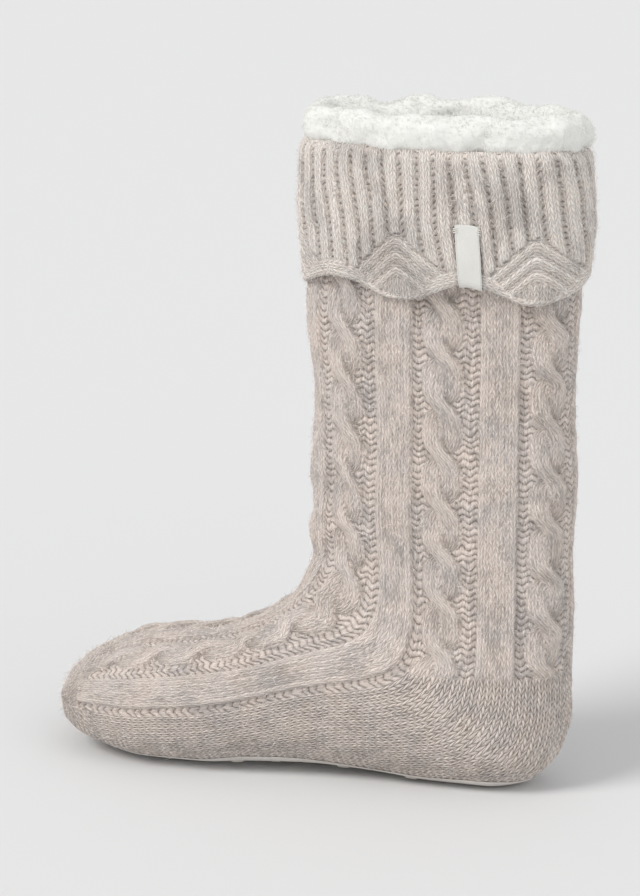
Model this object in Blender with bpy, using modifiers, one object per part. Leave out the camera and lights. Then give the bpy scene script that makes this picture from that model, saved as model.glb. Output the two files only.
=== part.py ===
"""Slipper sock: a cable-knit boot sock with a turned-down scalloped cuff, a sherpa lining that rolls out
at the collar, a gripping tread under the foot and a small blank side label.

Metres, +Z up. The toe points to -X, the heel to +X, and the sock stands on its tread at z = 0.
Places round the sock are in turns: 0 at the front of the leg and the top of the foot, 0.25 at the -Y side,
0.5 at the back of the leg and under the foot, 0.75 at the +Y side.
"""

from collections import namedtuple
from math import pi

import bmesh
import bpy
import numpy as np
from mathutils import Vector
from mathutils.bvhtree import BVHTree

# Driving sizes.
FOOT_LENGTH = 0.238
BALL_WIDTH = 0.088
HEEL_WIDTH = 0.062
INSTEP_HEIGHT = 0.092
HEEL_HEIGHT = 0.060
LEG_DEPTH = 0.118
LEG_WIDTH = 0.055
CUFF_TOP = 0.286
TOE_SPRING = 0.0048
ARCH_LIFT = 0.0027
SOLE_PRESS = 0.0009

KNIT_WALL = 0.003
CABLE_RISE = 0.0013
LINING_WALL = 0.004
ROLL_HEIGHT = 0.0145
ROLL_WIDTH = 0.0112
GAP = 0.0003

CUFF_WALL = 0.003
CUFF_DROP = 0.060
CUFF_CLEARANCE = 0.0006
CUFF_FULLEST = 1.17
SCALLOP_DEPTH = 0.0085
SCALLOPS = 5
SCALLOP_TURN = 0.015

REPEATS = 6
CABLE_TURN = 1 / 9
CABLE_FADE = 0.016
CABLE_TOE_GAP = 0.030

TREAD_WALL = 0.0008
TREAD_INSET = 0.011
TREAD_HEEL_INSET = 0.015
STUD_HEIGHT = 0.0006
STUD_DIAMETER = 0.006
STUD_PITCH = 0.0160
STUD_TAPER = 0.8

LABEL_WIDTH = 0.011
LABEL_LENGTH = 0.027
LABEL_WALL = 0.0008
LABEL_TURN = 0.322

# How far the tread's film reaches before it is cut to its outline: in turns from the middle of the sole, and
# in sections past the forefoot.
TREAD_REACH = 0.21
TREAD_HEEL_RINGS = 6

# How finely the curved pieces are divided.
COLUMNS = 8 * REPEATS
CUFF_COLUMNS = 11 * SCALLOPS
LABEL_COLUMNS = 4
OUTLINE_STEPS = 480
SOLE_STEPS = 28
STUD_SIDES = 6

# Worked out from them.
SOLE_LEVEL = STUD_HEIGHT + TREAD_WALL + GAP
ROUND_SOLE_LEVEL = SOLE_LEVEL - SOLE_PRESS
KNIT_TOP = CUFF_TOP - CUFF_WALL - 2 * GAP
CUFF_OUT = CABLE_RISE + CUFF_CLEARANCE + CUFF_WALL
HEEL_BACK = (FOOT_LENGTH - CUFF_FULLEST * CUFF_OUT) / 2
TOE_END = HEEL_BACK - FOOT_LENGTH
TREAD_LENGTH = FOOT_LENGTH - TREAD_INSET - TREAD_HEEL_INSET
LINING_DEPTH = KNIT_WALL + GAP
FULL_DEPTH = LINING_DEPTH + LINING_WALL

# One cross-section of the sock: its point at the top or front, its point at the sole or back, its half-width,
# where it is widest, from 0 at the sole or back to 1 at the top or front, and how square each end is.
Section = namedtuple("Section", "front_x front_z back_x back_z half_width widest square_front square_back")

# Forefoot, from the toe back. along is a share of the foot's length from the heel's back, top of the
# instep's height, half of half the ball's width, spring of the toe spring and arch of the arch lift.
Fore = namedtuple("Fore", "along_top along_sole top half spring arch widest square_top square_sole")
FOREFOOT = (
    Fore(0.993, 0.993, 0.320, 0.34, 2.90, 0.0, 0.50, 2.0, 2.0),
    Fore(0.974, 0.974, 0.400, 0.57, 1.60, 0.0, 0.47, 2.1, 2.2),
    Fore(0.934, 0.934, 0.466, 0.78, 0.85, 0.0, 0.44, 2.2, 2.4),
    Fore(0.868, 0.870, 0.524, 0.93, 0.32, 0.0, 0.42, 2.2, 2.6),
    Fore(0.780, 0.790, 0.582, 1.00, 0.00, 0.0, 0.41, 2.2, 2.8),
    Fore(0.680, 0.690, 0.652, 0.98, 0.00, 0.0, 0.40, 2.2, 2.8),
    Fore(0.596, 0.580, 0.736, 0.90, 0.00, 0.7, 0.40, 2.1, 2.7),
)

# Hindfoot, where the sections fan round the heel. depth is a share of the leg's depth, along of the foot's
# length from the heel's back, top of the instep's height, back of the heel's height, half of half the
# heel's width and arch of the arch lift.
Hind = namedtuple("Hind", "depth along top back half arch widest square_front square_back")
HINDFOOT = (
    Hind(1.095, 0.462, 0.838, 0.000, 1.14, 1.0, 0.40, 2.1, 2.6),
    Hind(1.045, 0.345, 0.930, 0.000, 1.05, 0.6, 0.39, 2.1, 2.6),
    Hind(1.018, 0.232, 1.010, 0.000, 1.02, 0.0, 0.38, 2.1, 2.6),
    Hind(1.006, 0.135, 1.080, 0.000, 1.00, 0.0, 0.38, 2.1, 2.5),
    Hind(1.001, 0.066, 1.145, 0.065, 0.99, 0.0, 0.39, 2.1, 2.4),
    Hind(0.998, 0.022, 1.215, 0.235, 0.96, 0.0, 0.41, 2.1, 2.4),
    Hind(0.996, 0.003, 1.295, 0.500, 0.93, 0.0, 0.43, 2.1, 2.4),
    Hind(0.994, 0.000, 1.400, 1.000, 0.90, 0.0, 0.46, 2.2, 2.3),
)

# Leg, up to the rim. front and back are shares of the height from the heel to the rim, depth of the leg's
# depth and half of half the leg's width.
Leg = namedtuple("Leg", "front back depth half square")
LEG = (
    Leg(0.40, 0.21, 0.990, 1.00, 2.2),
    Leg(0.60, 0.55, 0.994, 1.01, 2.2),
    Leg(0.82, 0.82, 1.000, 1.00, 2.2),
    Leg(1.00, 1.00, 1.000, 1.00, 2.2),
)

# The cuff's outer face, from its free edge up and over the knit's rim. out is a share of CUFF_OUT, down of
# the cuff's drop at that place, and fold of the cuff's wall.
CuffRow = namedtuple("CuffRow", "out down fold")
CUFF = (
    CuffRow(0.97, 1.00, 0.00),
    CuffRow(1.14, 0.90, 0.00),
    CuffRow(CUFF_FULLEST, 0.52, 0.00),
    CuffRow(1.08, 0.14, 0.30),
    CuffRow(0.96, 0.00, 1.00),
    CuffRow(0.70, 0.00, 0.18),
    CuffRow(0.25, 0.00, 0.00),
    CuffRow(-0.57, 0.00, 0.02),
)

# The roll at the collar, from the lining's outer face round to its inner face. out is a share of ROLL_WIDTH
# from the lining's inner face, up of ROLL_HEIGHT from the cuff's top.
RollRow = namedtuple("RollRow", "out up")
ROLL = (
    RollRow(0.88, 0.04),
    RollRow(1.00, 0.32),
    RollRow(0.93, 0.66),
    RollRow(0.70, 0.92),
    RollRow(0.38, 1.00),
    RollRow(0.06, 0.88),
    RollRow(-0.16, 0.58),
    RollRow(-0.16, 0.20),
)

# Colours as linear RGB, with roughness.
YARN = ((0.58, 0.51, 0.46), 0.95)
SHERPA = ((0.86, 0.86, 0.83), 0.95)
GRIP = ((0.62, 0.60, 0.57), 0.55)
WOVEN = ((0.72, 0.72, 0.70), 0.70)


def sock_sections():
    """Every cross-section from the toe to the rim."""
    sections = []
    for row in FOREFOOT:
        front = (HEEL_BACK - row.along_top * FOOT_LENGTH, row.top * INSTEP_HEIGHT)
        rise = row.spring * TOE_SPRING + row.arch * ARCH_LIFT
        back = (HEEL_BACK - row.along_sole * FOOT_LENGTH, ROUND_SOLE_LEVEL + rise)
        half = row.half * BALL_WIDTH / 2
        sections.append(Section(*front, *back, half, row.widest, row.square_top, row.square_sole))
    for row in HINDFOOT:
        front = (HEEL_BACK - row.depth * LEG_DEPTH, row.top * INSTEP_HEIGHT)
        rise = row.back * (HEEL_HEIGHT - ROUND_SOLE_LEVEL) + row.arch * ARCH_LIFT
        back = (HEEL_BACK - row.along * FOOT_LENGTH, ROUND_SOLE_LEVEL + rise)
        half = row.half * HEEL_WIDTH / 2
        sections.append(Section(*front, *back, half, row.widest, row.square_front, row.square_back))
    for row in LEG:
        front = (HEEL_BACK - row.depth * LEG_DEPTH, HEEL_HEIGHT + row.front * (KNIT_TOP - HEEL_HEIGHT))
        back = (HEEL_BACK, HEEL_HEIGHT + row.back * (KNIT_TOP - HEEL_HEIGHT))
        half = row.half * LEG_WIDTH / 2
        sections.append(Section(*front, *back, half, 0.5, row.square, row.square))
    return sections


def outline(section, turns):
    """Points of one cross-section at these turns, evenly spaced along its girth."""
    angle = np.linspace(0, 2 * pi, OUTLINE_STEPS + 1)
    along, across = np.cos(angle), -np.sin(angle)
    power = 2 / np.where(along >= 0, section.square_front, section.square_back)
    along = np.sign(along) * np.abs(along) ** power
    across = np.sign(across) * np.abs(across) ** power
    front = np.array((section.front_x, 0, section.front_z))
    back = np.array((section.back_x, 0, section.back_z))
    middle = back + section.widest * (front - back)
    points = middle + np.clip(along, 0, 1)[:, None] * (front - middle)
    points += np.clip(-along, 0, 1)[:, None] * (back - middle)
    points[:, 1] += across * section.half_width
    girth = np.concatenate(([0], np.cumsum(np.linalg.norm(np.diff(points, axis=0), axis=1))))
    places = np.mod(turns, 1) * girth[-1]
    return np.stack([np.interp(places, girth, points[:, axis]) for axis in range(3)], axis=1)


def normals_of(rings, pole):
    """Outward normals of a lofted surface at its ring points."""
    round_the_ring = np.roll(rings, -1, axis=1) - np.roll(rings, 1, axis=1)
    before = np.concatenate((np.broadcast_to(pole, (1, rings.shape[1], 3)), rings[:-1]))
    after = np.concatenate((rings[1:], rings[-1:]))
    normals = np.cross(round_the_ring, after - before)
    return normals / np.linalg.norm(normals, axis=2, keepdims=True)


def knit_turns():
    """Turns of the knit's columns: one falls on the middle of every cable."""
    return CABLE_TURN + np.arange(COLUMNS) / COLUMNS


def cable_rise(rings):
    """How far each point of the knit stands out: the cables run down the leg, and those of the front half
    go on over the instep and fade before the toe, while those of the back half fade into the heel."""
    period = COLUMNS // REPEATS
    from_cable = np.abs((np.arange(COLUMNS) + period // 2) % period - period // 2)
    ridge = np.select([from_cable == 0, from_cable == 1], [1.0, 0.7], 0.0)
    in_front = np.cos(2 * pi * knit_turns()) > 0
    above_heel = (rings[:, :, 2] - HEEL_HEIGHT) / CABLE_FADE + 0.5
    behind_toe = (rings[:, :, 0] - TOE_END - CABLE_TOE_GAP) / CABLE_FADE
    rise = ridge * np.clip(np.where(in_front, behind_toe, above_heel), 0, 1)
    rise[-1] = 0
    return CABLE_RISE * rise[:, :, None]


def sock_surface():
    """The knit's base surface as rings of points from the toe to the rim, its toe point and its normals.
    The round sole is pressed flat where it meets the floor."""
    sections = sock_sections()
    rings = np.array([outline(section, knit_turns()) for section in sections])
    rings[:, :, 2] = np.maximum(rings[:, :, 2], SOLE_LEVEL)
    toe = np.array((TOE_END, 0, (sections[0].front_z + sections[0].back_z) / 2))
    return rings, toe, normals_of(rings, toe)


def lofted(name, rings, material, closed=True, first_pole=None, last_pole=None, back_from=None):
    """A mesh object lofted through rings of points. The rings are closed or open, and a pole closes an end.
    The rings from back_from on run back inside the others, and their faces split along the same diagonals."""
    mesh = bpy.data.meshes.new(name)
    form = bmesh.new()
    rows = [[form.verts.new(point) for point in ring] for ring in rings]
    count = len(rows[0])
    steps = [(column, (column + 1) % count) for column in range(count if closed else count - 1)]
    for index, (low, high) in enumerate(zip(rows, rows[1:])):
        for here, there in steps:
            if back_from is None or index < back_from:
                form.faces.new((low[here], low[there], high[there]))
                form.faces.new((low[here], high[there], high[here]))
            else:
                form.faces.new((low[here], low[there], high[here]))
                form.faces.new((low[there], high[there], high[here]))
    if first_pole is not None:
        pole = form.verts.new(first_pole)
        for here, there in steps:
            form.faces.new((pole, rows[0][there], rows[0][here]))
    if last_pole is not None:
        pole = form.verts.new(last_pole)
        for here, there in steps:
            form.faces.new((pole, rows[-1][here], rows[-1][there]))
    form.to_mesh(mesh)
    form.free()
    mesh.shade_smooth()
    mesh.materials.append(material)
    return placed(bpy.data.objects.new(name, mesh))


def placed(piece, helper=False):
    """Links a piece to the sock's collection, or a helper to the helpers'."""
    name = "helpers" if helper else "slipper_sock"
    collection = bpy.data.collections.get(name)
    if collection is None:
        collection = bpy.data.collections.new(name)
        bpy.context.scene.collection.children.link(collection)
    collection.objects.link(piece)
    piece.hide_render = helper
    piece.display_type = "WIRE" if helper else "TEXTURED"
    return piece


def solidified(piece, wall):
    """Gives an open surface its wall, inward."""
    modifier = piece.modifiers.new("Wall", "SOLIDIFY")
    modifier.thickness = wall
    modifier.offset = -1
    modifier.use_even_offset = True
    return piece


def finish(name, colour, roughness):
    """A plain material."""
    material = bpy.data.materials.new(name)
    material.use_nodes = True
    shader = material.node_tree.nodes["Principled BSDF"]
    shader.inputs["Base Color"].default_value = (*colour, 1)
    shader.inputs["Roughness"].default_value = roughness
    return material


def collar_ring(turns, out, height):
    """Level points round the leg at these turns, this far outside the knit's rim and at this height."""
    rim = sock_sections()[-1]
    step = 1 / OUTLINE_STEPS
    along = outline(rim, turns + step) - outline(rim, turns - step)
    outward = np.stack((along[:, 1], -along[:, 0]), axis=1) / np.linalg.norm(along, axis=1, keepdims=True)
    ring = outline(rim, turns)
    ring[:, :2] += outward * np.reshape(out, (-1, 1))
    ring[:, 2] = height
    return ring


def knit_upper(material):
    """The leg, heel, foot and toe, knitted whole and open at the top, with the cables raised in the wall."""
    rings, toe, normals = sock_surface()
    outer = rings + normals * cable_rise(rings)
    inner = rings - normals * KNIT_WALL
    ends = {"first_pole": toe, "last_pole": toe + np.array((KNIT_WALL, 0, 0))}
    lofted("knit_upper", [*outer, *inner[::-1]], material, back_from=len(outer) - 1, **ends)


def sherpa_lining(material):
    """The lining: its outer face lies just inside the knit, and at the collar it swells to a plump roll."""
    rings, toe, normals = sock_surface()
    outer = rings - normals * LINING_DEPTH
    inner = rings - normals * FULL_DEPTH
    roll = [collar_ring(knit_turns(), -LINING_DEPTH, CUFF_TOP + GAP)]
    for row in ROLL:
        out = row.out * ROLL_WIDTH - FULL_DEPTH
        roll.append(collar_ring(knit_turns(), out, CUFF_TOP + row.up * ROLL_HEIGHT))
    back_from = len(outer) + len(roll)
    ends = {"first_pole": toe + np.array((LINING_DEPTH, 0, 0)), "last_pole": toe + np.array((FULL_DEPTH, 0, 0))}
    lofted("sherpa_lining", [*outer, *roll, *inner[::-1]], material, back_from=back_from, **ends)


def cuff_drop(turns):
    """Depth of the cuff's free edge below its top: round scallops."""
    return CUFF_DROP + SCALLOP_DEPTH / 2 * np.cos(2 * pi * SCALLOPS * (turns - SCALLOP_TURN))


def turned_cuff(material):
    """The cuff: its outer face runs up from the scalloped edge and folds over the knit's rim."""
    turns = np.arange(CUFF_COLUMNS) / CUFF_COLUMNS + SCALLOP_TURN
    rings = []
    for row in CUFF:
        height = CUFF_TOP - row.down * cuff_drop(turns) - row.fold * CUFF_WALL
        rings.append(collar_ring(turns, row.out * CUFF_OUT, height))
    solidified(lofted("turned_cuff", rings, material), CUFF_WALL)


def side_label(material):
    """The label: it hangs outside the cuff and is folded under the cuff's edge."""
    whole = outline(sock_sections()[-1], np.arange(OUTLINE_STEPS) / OUTLINE_STEPS)
    girth = np.linalg.norm(whole - np.roll(whole, 1, axis=0), axis=1).sum()
    turns = LABEL_TURN + LABEL_WIDTH / girth * np.linspace(-0.5, 0.5, LABEL_COLUMNS)
    drop = cuff_drop(turns)
    beyond = GAP + LABEL_WALL
    edge_out = CUFF[0].out * CUFF_OUT + beyond
    edge_height = CUFF_TOP - drop - beyond
    rows = [collar_ring(turns, edge_out - CUFF_WALL, edge_height), collar_ring(turns, edge_out, edge_height)]
    cuff_side = CUFF[3::-1]
    for down in (CUFF[1].down, 1 - LABEL_LENGTH / drop):
        share = np.interp(down, [row.down for row in cuff_side], [row.out for row in cuff_side])
        rows.append(collar_ring(turns, share * CUFF_OUT + beyond, CUFF_TOP - down * drop))
    solidified(lofted("side_label", rows, material, closed=False), LABEL_WALL)


def sole_half_width(along):
    """Half the tread's width at a share of its length from the toe end, with round ends."""
    waist = np.clip((along - 0.35) / 0.35, 0, 1)
    waist = waist * waist * (3 - 2 * waist)
    half = (1 - waist) * BALL_WIDTH / 2 + waist * HEEL_WIDTH / 2 - TREAD_INSET
    toe_end = np.clip(1 - along / 0.26, 0, 1)
    heel_end = np.clip((along - 0.86) / 0.14, 0, 1)
    return half * np.sqrt(1 - toe_end**2.4) * np.sqrt(1 - heel_end**2.2)


def tread_place(along):
    """The x of a share of the tread's length from the toe end."""
    return TOE_END + TREAD_INSET + along * TREAD_LENGTH


def sole_prism():
    """A helper as deep as the foot is wide, with the tread's outline."""
    along = (1 - np.cos(np.linspace(0, pi, SOLE_STEPS))) / 2
    one_side = np.stack((tread_place(along), sole_half_width(along)), axis=1)[1:-1]
    loop = np.concatenate((one_side, one_side[::-1] * (1, -1)))
    mesh = bpy.data.meshes.new("sole_prism")
    form = bmesh.new()
    face = form.faces.new([form.verts.new((x, y, -BALL_WIDTH / 2)) for x, y in loop])
    pulled = bmesh.ops.extrude_face_region(form, geom=[face])["geom"]
    points = [item for item in pulled if isinstance(item, bmesh.types.BMVert)]
    bmesh.ops.translate(form, vec=(0, 0, BALL_WIDTH), verts=points)
    bmesh.ops.recalc_face_normals(form, faces=form.faces)
    form.to_mesh(mesh)
    form.free()
    return placed(bpy.data.objects.new("sole_prism", mesh), helper=True)


def studs(film):
    """Round studs in staggered rows over the film, each standing square to its surface."""
    surface = BVHTree.FromObject(film, bpy.context.evaluated_depsgraph_get())
    mesh = bpy.data.meshes.new("studs")
    form = bmesh.new()
    margin = STUD_DIAMETER / 2 + TREAD_WALL
    lanes = int(BALL_WIDTH / 2 / STUD_PITCH) + 1
    sunk = TREAD_WALL / 2
    for row in range(1, int(TREAD_LENGTH / STUD_PITCH) + 1):
        along = row * STUD_PITCH / TREAD_LENGTH
        for lane in range(-lanes, lanes + 1):
            y = (lane + 0.5 * (row % 2)) * STUD_PITCH
            if abs(y) > sole_half_width(along) - margin:
                continue
            below = Vector((tread_place(along), y, -BALL_WIDTH))
            foot, normal, _, _ = surface.ray_cast(below, Vector((0, 0, 1)))
            turned = normal.to_track_quat("Z", "Y").to_matrix().to_4x4()
            turned.translation = foot + normal * (STUD_HEIGHT - sunk) / 2
            bmesh.ops.create_cone(
                form,
                cap_ends=True,
                segments=STUD_SIDES,
                radius1=STUD_DIAMETER / 2,
                radius2=STUD_DIAMETER / 2 * STUD_TAPER,
                depth=STUD_HEIGHT + sunk,
                matrix=turned,
            )
    form.to_mesh(mesh)
    form.free()
    return placed(bpy.data.objects.new("studs", mesh), helper=True)


def grip_tread(material):
    """The tread: a film cut to the sole's outline between two faces outside the knit's, with round studs."""
    rings, _, normals = sock_surface()
    under = np.abs(knit_turns() - 0.5) < TREAD_REACH
    foot = slice(1, len(FOREFOOT) + TREAD_HEEL_RINGS)
    faces = rings[foot][:, under] + normals[foot][:, under] * (GAP + TREAD_WALL)
    tread = solidified(lofted("grip_tread", faces, material, closed=False), TREAD_WALL)
    for name, operation, other in (("Outline", "INTERSECT", sole_prism()), ("Studs", "UNION", studs(tread))):
        boolean = tread.modifiers.new(name, "BOOLEAN")
        boolean.operation = operation
        boolean.object = other


def main():
    for thing in list(bpy.data.objects):
        bpy.data.objects.remove(thing)
    knit_upper(finish("heathered_yarn", *YARN))
    turned_cuff(finish("cuff_yarn", *YARN))
    sherpa_lining(finish("sherpa", *SHERPA))
    grip_tread(finish("grip", *GRIP))
    side_label(finish("woven_label", *WOVEN))


main()
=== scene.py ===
"""One slipper sock, dressed: cable knit leg and foot, turned-down scalloped cuff, sherpa lining with its roll
at the collar, woven side label and gripping tread. Metres; lengths that end in _mm are millimetres."""

from math import cos, pi, radians, sin

import bmesh
import bpy
import numpy as np
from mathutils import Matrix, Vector
from mathutils.bvhtree import BVHTree


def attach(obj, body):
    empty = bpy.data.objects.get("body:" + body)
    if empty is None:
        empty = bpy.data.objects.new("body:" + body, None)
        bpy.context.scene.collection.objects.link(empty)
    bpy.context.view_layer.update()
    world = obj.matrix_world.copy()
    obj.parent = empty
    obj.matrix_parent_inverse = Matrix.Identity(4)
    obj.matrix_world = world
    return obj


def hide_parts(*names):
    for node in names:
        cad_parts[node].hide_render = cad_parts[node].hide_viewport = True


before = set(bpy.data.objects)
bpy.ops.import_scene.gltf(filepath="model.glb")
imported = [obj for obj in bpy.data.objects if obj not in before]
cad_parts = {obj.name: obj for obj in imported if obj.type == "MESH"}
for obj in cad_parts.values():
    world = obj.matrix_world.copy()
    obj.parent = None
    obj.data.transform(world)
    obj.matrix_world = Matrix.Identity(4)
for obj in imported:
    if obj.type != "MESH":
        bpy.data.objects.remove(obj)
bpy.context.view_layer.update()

# ---------------------------------------------------------------------------------------------------------
# Knitted leg and foot: one tube of thick heathered yarn, 102 stitches round. Six cables of two strands run
# down the leg between ladders of purl stitches and plain panels, and three of them go on over the instep.
# Heel, sole and toe are plain stitches, worked in one piece with the leg.
# ---------------------------------------------------------------------------------------------------------
FOOT_LENGTH = 0.238
BALL_WIDTH = 0.088
HEEL_WIDTH = 0.062
INSTEP_HEIGHT = 0.092
HEEL_HEIGHT = 0.060
LEG_DEPTH = 0.118
LEG_WIDTH = 0.055
CUFF_TOP = 0.286
TOE_SPRING = 0.0048
ARCH_LIFT = 0.0027
KNIT_TOP = 0.2824
SOLE_LEVEL = 0.0017
ROUND_SOLE_LEVEL = 0.0008
CUFF_OUT = 0.0049
CUFF_FULLEST = 1.17
HEEL_BACK = (FOOT_LENGTH - CUFF_FULLEST * CUFF_OUT) / 2
TOE_END = HEEL_BACK - FOOT_LENGTH

# Sections of the last. Forefoot: top and sole are shares of the foot's length from the heel's back, then the
# top's height, half-width, toe spring, arch, where it is widest and how square its top and sole are.
FOREFOOT = (
    (0.993, 0.993, 0.320, 0.34, 2.90, 0.0, 0.50, 2.0, 2.0),
    (0.974, 0.974, 0.400, 0.57, 1.60, 0.0, 0.47, 2.1, 2.2),
    (0.934, 0.934, 0.466, 0.78, 0.85, 0.0, 0.44, 2.2, 2.4),
    (0.868, 0.870, 0.524, 0.93, 0.32, 0.0, 0.42, 2.2, 2.6),
    (0.780, 0.790, 0.582, 1.00, 0.00, 0.0, 0.41, 2.2, 2.8),
    (0.680, 0.690, 0.652, 0.98, 0.00, 0.0, 0.40, 2.2, 2.8),
    (0.596, 0.580, 0.736, 0.90, 0.00, 0.7, 0.40, 2.1, 2.7),
)
# Hindfoot: the front is a share of the leg's depth and the back of the foot's length, then as above.
HINDFOOT = (
    (1.095, 0.462, 0.838, 0.000, 1.14, 1.0, 0.40, 2.1, 2.6),
    (1.045, 0.345, 0.930, 0.000, 1.05, 0.6, 0.39, 2.1, 2.6),
    (1.018, 0.232, 1.010, 0.000, 1.02, 0.0, 0.38, 2.1, 2.6),
    (1.006, 0.135, 1.080, 0.000, 1.00, 0.0, 0.38, 2.1, 2.5),
    (1.001, 0.066, 1.145, 0.065, 0.99, 0.0, 0.39, 2.1, 2.4),
    (0.998, 0.022, 1.215, 0.235, 0.96, 0.0, 0.41, 2.1, 2.4),
    (0.996, 0.003, 1.295, 0.500, 0.93, 0.0, 0.43, 2.1, 2.4),
    (0.994, 0.000, 1.400, 1.000, 0.90, 0.0, 0.46, 2.2, 2.3),
)
# Leg: heights of the front and the back as shares from the heel to the rim, depth and half-width.
LEG = ((0.40, 0.21, 0.990, 1.00), (0.60, 0.55, 0.994, 1.01), (0.82, 0.82, 1.0, 1.0), (1.0, 1.0, 1.0, 1.0))

# Stitches round the leg, and to one repeat of cable, ladders and panel.
STITCHES = 102
REPEAT = 17
ROW_HEIGHT = 0.0030
CABLE_TURN = 1 / 9
LEG_WALE = 11.25
# Rows from one crossing of a cable to the next, and how far each cable is ahead of the one beside it.
CROSSING_ROWS = 7.33
CROSSINGS_AHEAD, CROSSINGS_FROM = 0.37, 0.13
# In stitches from the middle of a cable, but the rises in mm. Its two strands keep streaks of their own.
STRAND_SWING = 1.5
STRAND_HALF = 1.75
STRAND_RISE_MM = 1.35
STRANDS_APART = 20
CABLE_HALF = 3.3
LADDERS = (-5, 6)
LADDER_SINK_MM = 0.95
PANEL_RISE_MM = 0.75
PANEL_EDGE_MM = 0.22
PURL_ARCS = 8 / REPEAT
PURL_ARCS_FROM = 4.7
# Where the instep begins, and where its cables and the leg's fade into plain stitches.
INSTEP_FROM = 0.112
INSTEP_TURNS = (-0.253, 0.247)
COUNTED_AT_TURN = 0.12
PLAIN_AT_TOE = (0.034, 0.046)
PLAIN_AT_HEEL = (0.052, 0.058)
# Below the heel's mitre the rows run the other way, as they do under the sole.
MITRE_X, MITRE_HEIGHT, MITRE_SLOPE = 0.057, 0.052, 0.863
SOLE_ROWS_FROM = 80.0
TOE_CAP = 0.040
# How finely the tube is drawn.
GIRTH_STEPS = 720
COLUMNS = 4 * STITCHES
RINGS_ON_FOOT = 390
RINGS_ON_LEG = 304
TOE_CROWDING = 1.04
LEG_ENDS_AT = 0.262
HIDDEN_RINGS = 20
# How far to each side, in columns, the painted shade looks for ridges.
PAINTED_SHADE_REACH = 6


def last_sections():
    """front_x, front_z, back_x, back_z, half_width, widest, square_front, square_back of each section, from
    the point of the toe to the rim."""
    _, _, first_height, _, first_spring, *_ = FOREFOOT[0]
    toe_height = (first_height * INSTEP_HEIGHT + ROUND_SOLE_LEVEL + first_spring * TOE_SPRING) / 2
    rows = [(TOE_END, toe_height, TOE_END, toe_height, 0.0, 0.5, 2.0, 2.0)]
    for top, sole, height, half, spring, arch, widest, square_top, square_sole in FOREFOOT:
        low = ROUND_SOLE_LEVEL + spring * TOE_SPRING + arch * ARCH_LIFT
        ends = (HEEL_BACK - top * FOOT_LENGTH, height * INSTEP_HEIGHT, HEEL_BACK - sole * FOOT_LENGTH, low)
        rows.append((*ends, half * BALL_WIDTH / 2, widest, square_top, square_sole))
    for depth, along, height, back, half, arch, widest, square_front, square_back in HINDFOOT:
        low = ROUND_SOLE_LEVEL + back * (HEEL_HEIGHT - ROUND_SOLE_LEVEL) + arch * ARCH_LIFT
        ends = (HEEL_BACK - depth * LEG_DEPTH, height * INSTEP_HEIGHT, HEEL_BACK - along * FOOT_LENGTH, low)
        rows.append((*ends, half * HEEL_WIDTH / 2, widest, square_front, square_back))
    rise = KNIT_TOP - HEEL_HEIGHT
    for front, back, depth, half in LEG:
        front_z, back_z = HEEL_HEIGHT + front * rise, HEEL_HEIGHT + back * rise
        ends = (HEEL_BACK - depth * LEG_DEPTH, front_z, HEEL_BACK, back_z)
        rows.append((*ends, half * LEG_WIDTH / 2, 0.5, 2.2, 2.2))
    return np.array(rows)


def smooth_curve(places, values, wanted):
    """Smooth curve through the values, with no overshoot between them."""
    steps = np.diff(places)[:, None]
    slopes = np.diff(values, axis=0) / steps
    before, after = slopes[:-1], slopes[1:]
    weight_before, weight_after = 2 * steps[1:] + steps[:-1], steps[1:] + 2 * steps[:-1]
    same_way = before * after > 0
    safe_before, safe_after = np.where(same_way, before, 1), np.where(same_way, after, 1)
    middle = (weight_before + weight_after) / (weight_before / safe_before + weight_after / safe_after)
    tangents = np.vstack((slopes[:1], np.where(same_way, middle, 0), slopes[-1:]))
    index = np.clip(np.searchsorted(places, wanted) - 1, 0, len(places) - 2)
    share = ((wanted - places[index]) / steps[index, 0])[:, None]
    step = steps[index]
    low, high = values[index], values[index + 1]
    return (
        low * (1 + 2 * share) * (1 - share) ** 2
        + high * share**2 * (3 - 2 * share)
        + step * share * (1 - share) * (tangents[index] * (1 - share) - tangents[index + 1] * share)
    )


def ring_points(section, turns):
    """Points of one section at these turns, evenly spaced along its girth."""
    front_x, front_z, back_x, back_z, half, widest, square_front, square_back = section
    angle = np.linspace(0, 2 * pi, GIRTH_STEPS + 1)
    along, across = np.cos(angle), -np.sin(angle)
    power = 2 / np.where(along >= 0, square_front, square_back)
    along = np.sign(along) * np.abs(along) ** power
    across = np.sign(across) * np.abs(across) ** power
    front, back = np.array((front_x, 0, front_z)), np.array((back_x, 0, back_z))
    middle = back + widest * (front - back)
    points = middle + np.clip(along, 0, 1)[:, None] * (front - middle)
    points += np.clip(-along, 0, 1)[:, None] * (back - middle)
    points[:, 1] += across * half
    girth = np.concatenate(([0], np.cumsum(np.linalg.norm(np.diff(points, axis=0), axis=1))))
    places = np.mod(turns, 1) * girth[-1]
    return np.stack([np.interp(places, girth, points[:, axis]) for axis in range(3)], axis=1)


def surface_normals(grid):
    """Outward normals of closed rings of points."""
    round_it = np.roll(grid, -1, axis=1) - np.roll(grid, 1, axis=1)
    normals = np.cross(round_it, np.gradient(grid, axis=0))
    return normals / np.maximum(np.linalg.norm(normals, axis=2, keepdims=True), 1e-12)


def eased(value, low, high):
    """0 below low, 1 above high, smooth between."""
    share = np.clip((value - low) / (high - low), 0, 1)
    return share * share * (3 - 2 * share)


def lumps(points, size, seed):
    """Smooth random height at each point, about -1 to 1, with lumps of this size."""
    random = np.random.default_rng(seed)
    total = np.zeros(points.shape[:-1])
    for _ in range(22):
        way = random.normal(size=3)
        way *= random.uniform(0.75, 1.35) / np.linalg.norm(way)
        total += np.sin(points @ way * (2 * pi / size) + random.uniform(0, 2 * pi))
    return total / 4.7


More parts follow.
